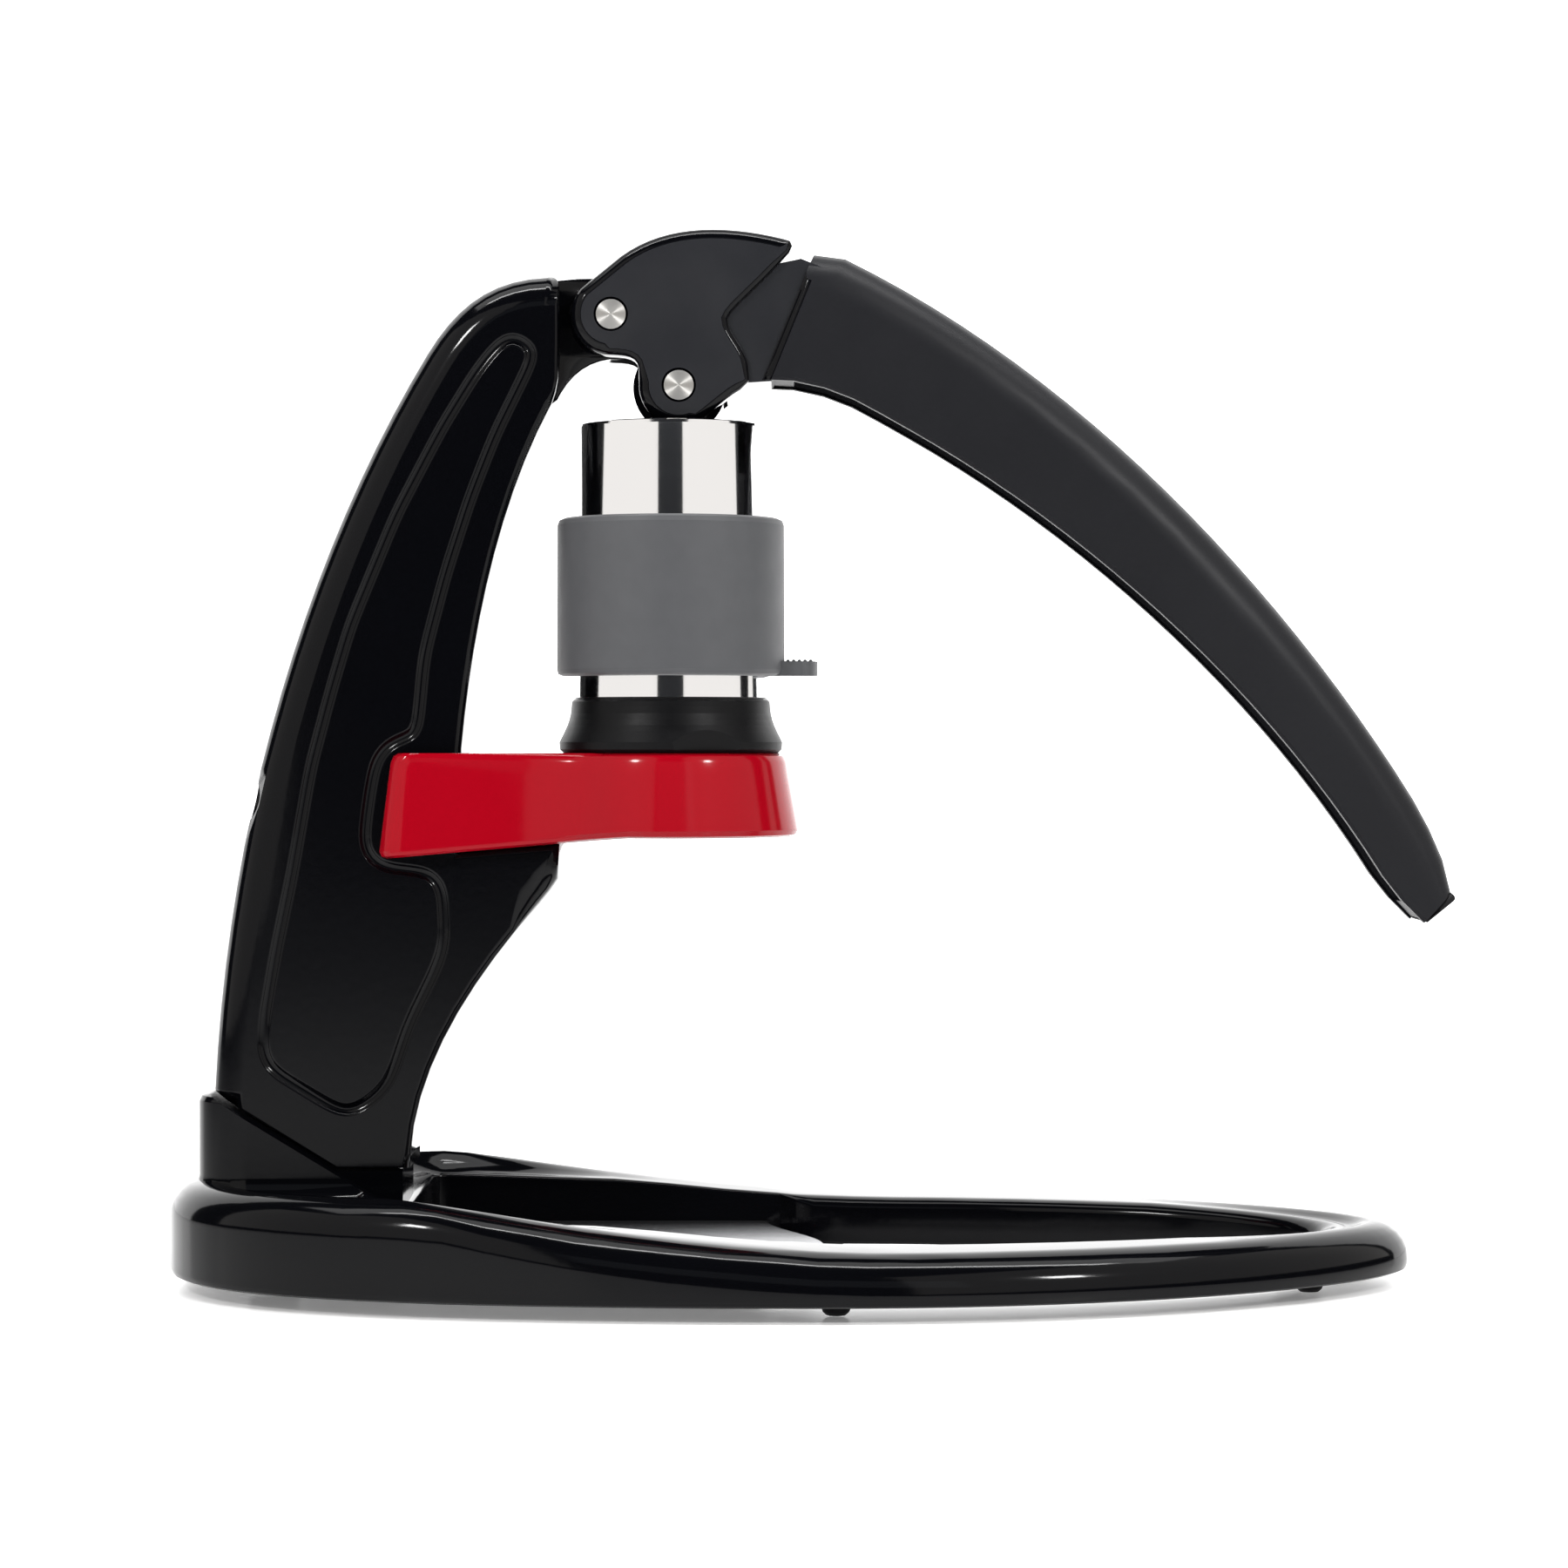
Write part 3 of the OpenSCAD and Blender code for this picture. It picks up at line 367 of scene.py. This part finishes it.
def copy_of(node):
    """A copy of a node with its facets joined, in the node's place."""
    obj = bpy.data.objects.new(node + "_cast", nodes[node].data.copy())
    bpy.context.collection.objects.link(obj)
    join_facets(obj.data)
    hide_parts(node)
    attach(obj, body_of_node[node])
    return obj


def join_facets(mesh, move=None):
    """Welds a mesh, moves its points first if asked to, and joins faces that lie in one plane."""
    bm = bmesh.new()
    bm.from_mesh(mesh)
    if move:
        for vert in bm.verts:
            vert.co = move(vert.co)
    bmesh.ops.remove_doubles(bm, verts=bm.verts, dist=WELD)
    bmesh.ops.dissolve_degenerate(bm, edges=bm.edges, dist=WELD)
    bmesh.ops.dissolve_limit(bm, angle_limit=COPLANAR, verts=bm.verts, edges=bm.edges)
    bm.to_mesh(mesh)
    bm.free()
    if "custom_normal" in mesh.attributes:
        mesh.attributes.remove(mesh.attributes["custom_normal"])


def bevel(obj, name, width):
    """A rounding of edges whose new faces take the piece's first finish."""
    step = obj.modifiers.new(name, "BEVEL")
    step.width = width
    step.segments = ROUND_STEPS
    step.material = 0
    return step


def round_edges(obj, width, chosen):
    """Rounds the sharp edges for which chosen(edge) holds."""
    bm = bmesh.new()
    bm.from_mesh(obj.data)
    weight = bm.edges.layers.float.new("bevel_weight_edge")
    for edge in bm.edges:
        if edge.calc_face_angle(0) > SHARP and chosen(edge):
            edge[weight] = 1
    bm.to_mesh(obj.data)
    bm.free()
    step = bevel(obj, "round_edges", width)
    step.limit_method = "WEIGHT"
    step.use_clamp_overlap = False


def soften(obj, width):
    """Rounds all edges that are still sharp, as far as their neighbours leave room."""
    step = bevel(obj, "soft_edges", width)
    step.limit_method = "ANGLE"
    step.angle_limit = SHARP
    step.use_clamp_overlap = True


def shade(obj):
    """Smooth shading that keeps the large faces flat."""
    for face in obj.data.polygons:
        face.use_smooth = True
    step = obj.modifiers.new("flat_faces", "WEIGHTED_NORMAL")
    step.weight = FACE_WEIGHT
    step.keep_sharp = True


def casting(node, width):
    """A node's casting with soft edges."""
    obj = copy_of(node)
    soften(obj, width)
    shade(obj)


# Post


def groove_loop(mesh):
    """Outer edge of the groove's floor on the near side, as (x, z) points in order."""
    bm = bmesh.new()
    bm.from_mesh(mesh)
    bmesh.ops.remove_doubles(bm, verts=bm.verts, dist=WELD)
    floor = {f for f in bm.faces if all(abs(v.co.y + GROOVE_FLOOR) < NEAR for v in f.verts)}
    rim = [e for e in bm.edges if sum(f in floor for f in e.link_faces) == 1]
    loops = []
    while rim:
        edge = rim.pop()
        loop = [edge.verts[0], edge.verts[1]]
        while loop[-1] is not loop[0]:
            edge = next(e for e in rim if loop[-1] in e.verts)
            rim.remove(edge)
            loop.append(edge.other_vert(loop[-1]))
        loops.append([Vector((v.co.x, v.co.z)) for v in loop[:-1]])
    bm.free()
    return max(loops, key=loop_length)


def loop_length(loop):
    """Length of a closed line of points."""
    return sum((loop[i] - loop[i - 1]).length for i in range(len(loop)))


def resample(loop, count):
    """The same closed line through count points at equal distances."""
    step = loop_length(loop) / count
    points, at = [], 0.0
    for i, end in enumerate(loop):
        start = loop[i - 1]
        side = (end - start).length
        while at < side and len(points) < count:
            points.append(start.lerp(end, at / side))
            at += step
        at -= side
    return points


def smooth_line(loop, count, rounds):
    """A closed line with soft corners, through count points."""
    points = resample(loop, count)
    for _ in range(rounds):
        points = [(points[i - 1] + 2 * p + points[(i + 1) % count]) / 4
                  for i, p in enumerate(points)]
    return points


def solid(name, verts, faces):
    """A closed mesh whose faces look outwards, as a new object."""
    mesh = bpy.data.meshes.new(name)
    mesh.from_pydata(verts, [], faces)
    bm = bmesh.new()
    bm.from_mesh(mesh)
    bmesh.ops.recalc_face_normals(bm, faces=bm.faces)
    bm.to_mesh(mesh)
    bm.free()
    obj = bpy.data.objects.new(name, mesh)
    bpy.context.collection.objects.link(obj)
    return obj


def groove_cutter(line, side):
    """A closed round bar along a line in the post's flank, partly sunk into that flank."""
    n, m = len(line), BAR_SIDES
    area = sum(line[i - 1].x * line[i].y - line[i].x * line[i - 1].y for i in range(n))
    verts, faces = [], []
    for i, p in enumerate(line):
        along = (line[(i + 1) % n] - line[i - 1]).normalized()
        inward = Vector((-along.y, along.x)) * math.copysign(1, area)
        for k in range(m):
            turn = 2 * math.pi * k / m
            q = p + inward * (GROOVE_HALF + BAR_R * math.cos(turn))
            verts.append((q.x, side * (POST_HALF + BAR_LIFT + BAR_R * math.sin(turn)), q.y))
    for i in range(n):
        a, b = i * m, (i + 1) % n * m
        for k in range(m):
            faces.append((a + k, a + (k + 1) % m, b + (k + 1) % m, b + k))
    return solid("groove_cutter", verts, faces)


def crest_cutter(side):
    """A prism outside the rounding of the post's crest, over one ear of its front end."""
    y0, z0 = CREST_CENTRE
    turns = [math.radians(a) for a in range(CREST_STEP, 91, CREST_STEP)]
    outline = [(y0 + CREST_R * math.cos(t), z0 + CREST_R * math.sin(t)) for t in turns]
    low, far = outline[0][1], 2 * CREST_R
    outline += [(y0, z0 + far), (y0 + far, z0 + far), (y0 + far, low)]
    n = len(outline)
    verts = [(x, side * y, z) for x in CREST_SPAN for y, z in outline]
    faces = [(k, (k + 1) % n, n + (k + 1) % n, n + k) for k in range(n)]
    ends = [tuple(range(n)), tuple(range(n, 2 * n))]
    return solid("crest_cutter", verts, faces + ends)


def cut(obj, cutter):
    """Takes the cutter's solid out of the object and removes the cutter."""
    step = obj.modifiers.new("cut", "BOOLEAN")
    step.operation = "DIFFERENCE"
    step.solver = "EXACT"
    step.object = cutter
    whole = obj.evaluated_get(bpy.context.evaluated_depsgraph_get())
    mesh = bpy.data.meshes.new_from_object(whole)
    obj.modifiers.clear()
    obj.data = mesh
    bpy.data.objects.remove(cutter)


def fill_groove(co):
    """Moves a point of the groove's floor out to the flank."""
    if abs(abs(co.y) - GROOVE_FLOOR) < NEAR and co.x < PANEL_FRONT:
        return Vector((co.x, math.copysign(POST_HALF, co.y), co.z))
    return co


def flank_edge(edge):
    """True for an edge in the post's flanks, behind the front end of the panel."""
    return all(abs(abs(v.co.y) - POST_HALF) < NEAR and v.co.x < PANEL_FRONT for v in edge.verts)


def post_casting():
    """The post with a round groove in place of the square one, and without ears at its top."""
    line = smooth_line(groove_loop(nodes["post"].data), GROOVE_POINTS, GROOVE_ROUNDS)
    obj = copy_of("post")
    join_facets(obj.data, fill_groove)
    for side in (-1, 1):
        cut(obj, groove_cutter(line, side))
        cut(obj, crest_cutter(side))
    round_edges(obj, POST_EDGE, flank_edge)
    shade(obj)


# Lever


def beyond_seam(co):
    """Distance (x) of a point in front of the seam between the lever's neck and its grip."""
    low, top = GRIP_START
    return co.x - low[0] - (top[0] - low[0]) * (co.z - low[1]) / (top[1] - low[1])


def seam_edge(edge):
    """True for an edge of the grip's end at that seam, near its flat sides."""
    return all(abs(beyond_seam(v.co)) < SEAM_REACH and abs(v.co.y) > SEAM_SIDE
               for v in edge.verts)


def lever_casting():
    """The lever with gloss edges, flat head sides painted lighter as a painted sheen, and the
    grip's finish beyond the seam.
    """
    obj = copy_of("lever")
    for mat in (head, grip):
        obj.data.materials.append(mat)
    # faces beyond the seam take the grip's finish; flat faces in front of it are painted lighter,
    # a painted sheen
    for face in obj.data.polygons:
        if beyond_seam(face.center) > 0:
            face.material_index = GRIP_SLOT
        elif abs(face.normal.y) > FLAT:
            face.material_index = HEAD_SHEEN_SLOT
    round_edges(obj, SEAM_EDGE, seam_edge)
    soften(obj, LEVER_EDGE)
    shade(obj)


def end_cap():
    """The grip's end cap: a wedge that is thin at its lower edge and round at its front edge."""
    obj = copy_of("lever_end_cap")
    verts = obj.data.vertices
    low = min(v.co.z for v in verts)
    front = max(v.co.x for v in verts)
    back = min(verts, key=lambda v: v.co.x).co - min(verts, key=lambda v: v.co.z).co
    for vert in verts:
        part = 0
        if vert.co.z < low + NEAR:
            part = CAP_TAPER
        elif vert.co.x > front - NEAR:
            part = CAP_TRIM
        vert.co.x += back.x * part
        vert.co.z += back.z * part
    front = max(v.co.x for v in verts)
    round_edges(obj, CAP_EDGE, lambda edge: all(v.co.x > front - NEAR for v in edge.verts))
    shade(obj)


# Studio


def glow_material(name, strength):
    """White light of one strength."""
    mat = bpy.data.materials.new(name)
    mat.use_nodes = True
    tree = mat.node_tree
    tree.nodes.clear()
    out = tree.nodes.new("ShaderNodeOutputMaterial")
    glow = tree.nodes.new("ShaderNodeEmission")
    glow.inputs["Color"].default_value = (*WHITE, 1)
    glow.inputs["Strength"].default_value = strength
    tree.links.new(glow.outputs["Emission"], out.inputs["Surface"])
    return mat


def floor_material():
    """A pale floor with a slight gloss, which glows a little so that it stays white."""
    mat, _, bsdf = shader("floor", (0.93, 0.93, 0.93), 0.28, specular=0.35)
    bsdf.inputs["Emission Color"].default_value = (*WHITE, 1)
    bsdf.inputs["Emission Strength"].default_value = 0.16
    return mat


def panel(name, centre, size, facing, mat):
    """A flat panel of the studio, which isn't part of the object."""
    mesh = bpy.data.meshes.new(name)
    w, h = size[0] / 2, size[1] / 2
    mesh.from_pydata([(-w, -h, 0), (w, -h, 0), (w, h, 0), (-w, h, 0)], [], [(0, 1, 2, 3)])
    mesh.materials.append(mat)
    obj = bpy.data.objects.new(name, mesh)
    bpy.context.collection.objects.link(obj)
    obj.location = centre
    obj.rotation_euler = Vector(facing).to_track_quat("Z", "Y").to_euler()


def softbox(name, centre, size, target, glow, colour=WHITE):
    """A soft area light aimed at target; glow is its radiance."""
    data = bpy.data.lights.new(name, "AREA")
    data.shape = "RECTANGLE"
    data.size, data.size_y = size
    data.energy = glow * math.pi * size[0] * size[1]
    data.color = colour
    obj = bpy.data.objects.new(name, data)
    bpy.context.collection.objects.link(obj)
    obj.location = centre
    aim = Vector(target) - Vector(centre)
    obj.rotation_euler = aim.to_track_quat("-Z", "Y").to_euler()


def side_card(name, from_deg, to_deg):
    """A bright upright card between two angles off the direction towards the camera."""
    ends = []
    for turn in (math.radians(from_deg), math.radians(to_deg)):
        x, y = CARD_REACH * math.sin(turn), -CARD_REACH * math.cos(turn)
        ends.append(Vector((x, y, CARD_HEIGHT / 2 + CARD_FOOT)))
    centre = (ends[0] + ends[1]) / 2
    size = ((ends[1] - ends[0]).length, CARD_HEIGHT)
    softbox(name, centre, size, target=(0, 0, centre.z), glow=CARD_GLOW, colour=WARM)


def studio():
    """White floor and backdrop, a wide and a narrow top light, two small key lights, a dim card
    above the camera, and bright cards on both sides."""
    scene = bpy.context.scene
    scene.view_settings.view_transform = "Standard"
    world = bpy.data.worlds.new("studio")
    scene.world = world
    world.use_nodes = True
    back = world.node_tree.nodes["Background"]
    back.inputs["Color"].default_value = (0.9, 0.93, 1.0, 1)
    back.inputs["Strength"].default_value = 0.03
    panel("floor", centre=(0, 0, FLOOR_Z), size=(6, 6), facing=(0, 0, 1), mat=floor_material())
    panel("backdrop", centre=(0, 2.2, 1.2), size=(7, 5), facing=(0, -1, 0),
          mat=glow_material("backdrop", strength=2.2))
    softbox("top", centre=(0.03, 0.02, 1.2), size=(1.6, 0.4), target=LOW_TARGET, glow=3.5)
    softbox("strip", centre=(0.03, -0.15, 1.2), size=(1.3, 0.05), target=LOW_TARGET, glow=40)
    for name, x in (("key_left", -0.6), ("key_right", 0.7)):
        softbox(name, centre=(x, -0.8, 0.75), size=(0.12, 0.12), target=HEAD_TARGET, glow=110)
    softbox("front_card", centre=(0.12, -1.1, 0.6), size=(0.7, 0.44), target=(0.12, 0, 0.6),
            glow=0.4, colour=COOL)
    side_card("left_card", from_deg=-14, to_deg=-94)
    side_card("right_card", from_deg=16, to_deg=112)


def camera():
    """Camera at the place and with the lens of the photograph."""
    data = bpy.data.cameras.new("camera")
    data.sensor_width = SENSOR_MM
    data.lens = SENSOR_MM * FOCAL_PX / IMAGE_PX
    data.clip_start = NEAREST_SEEN
    obj = bpy.data.objects.new("camera", data)
    bpy.context.collection.objects.link(obj)
    tilt = math.atan((IMAGE_PX / 2 - HORIZON_ROW) / FOCAL_PX)
    obj.location = CAMERA_AT
    obj.rotation_euler = (math.pi / 2 - tilt, 0, 0)
    bpy.context.scene.camera = obj


camera()
studio()
dress_nodes()
casting("base_frame", BASE_EDGE)
post_casting()
casting("portafilter_arm", ARM_EDGE)
lever_casting()
end_cap()
